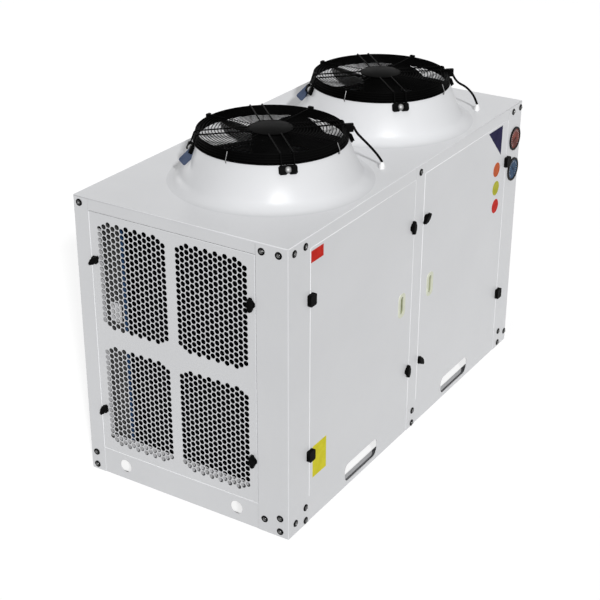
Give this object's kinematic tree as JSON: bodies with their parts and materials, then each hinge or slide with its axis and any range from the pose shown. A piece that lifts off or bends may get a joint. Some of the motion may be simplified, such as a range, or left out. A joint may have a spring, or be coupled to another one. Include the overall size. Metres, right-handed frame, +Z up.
{
  "type": "monoblock condensing unit",
  "caption": "Box-shaped condensing unit: sheet-metal cabinet with perforated ends, lift-off doors and upright axial fans in bell cowls on top.",
  "frame": {"origin": "centre of the footprint, on the ground", "axes": "+X along the cabinet towards the gauge end, +Y away from the service doors, +Z up"},
  "size_m": [2.034, 1.014, 1.444],
  "materials": {
    "cabinet_white": "light grey-white powder coat, satin",
    "cowl_white": "white gloss paint on spun steel",
    "handle_cream": "cream moulded plastic",
    "fastener_black": "black moulded plastic",
    "coil_fins": "coated fins, dark in the cabinet's shade",
    "fan_black": "black paint on sheet steel",
    "guard_black": "black powder-coated wire",
    "gauge_case": "polished steel case",
    "gland_white": "white nylon",
    "cable_black": "black sheathed cable"
  },
  "bodies": {
    "cabinet": {"base_rail_front": "cabinet_white", "base_rail_back": "cabinet_white", "base_rail_left": "cabinet_white", "base_rail_right": "cabinet_white", "floor_pan": "cabinet_white", "corner_post_front_left": "cabinet_white", "corner_post_front_right": "cabinet_white", "corner_post_back_left": "cabinet_white", "corner_post_back_right": "cabinet_white", "mid_post_front": "cabinet_white", "mid_post_back": "cabinet_white", "top_panel": "cabinet_white", "fan_cowl_left": "cowl_white", "fan_cowl_right": "cowl_white", "end_panel_left": "cabinet_white", "end_panel_right": "cabinet_white", "door_front_left": "cabinet_white", "door_front_right": "cabinet_white", "door_back_left": "cabinet_white", "door_back_right": "cabinet_white", "pull_handles_front": "handle_cream", "pull_handles_back": "handle_cream", "fasteners_front_left": "fastener_black", "fasteners_front_right": "fastener_black", "fasteners_back_left": "fastener_black", "fasteners_back_right": "fastener_black", "fasteners_end_left": "fastener_black", "fasteners_end_right": "fastener_black", "coil_left": "coil_fins", "coil_right": "coil_fins", "fan_motors": "fan_black", "fan_guard_left": "guard_black", "fan_guard_right": "guard_black", "fan_band_left": "guard_black", "fan_band_right": "guard_black", "pressure_gauges": "gauge_case", "cable_glands": "gland_white", "fan_cable_left": "cable_black", "fan_cable_right": "cable_black"},
    "rotor_left": {"fan_rotor_left": "fan_black"},
    "rotor_right": {"fan_rotor_right": "fan_black"}
  },
  "joints": [
    {"name": "fan_left_spin", "type": "hinge", "parent": "cabinet", "child": "rotor_left", "pos_m": [-0.438, -0.051, 1.35], "axis": [0, 0, 1], "continuous": true},
    {"name": "fan_right_spin", "type": "hinge", "parent": "cabinet", "child": "rotor_right", "pos_m": [0.438, -0.051, 1.35], "axis": [0, 0, 1], "continuous": true}
  ]
}
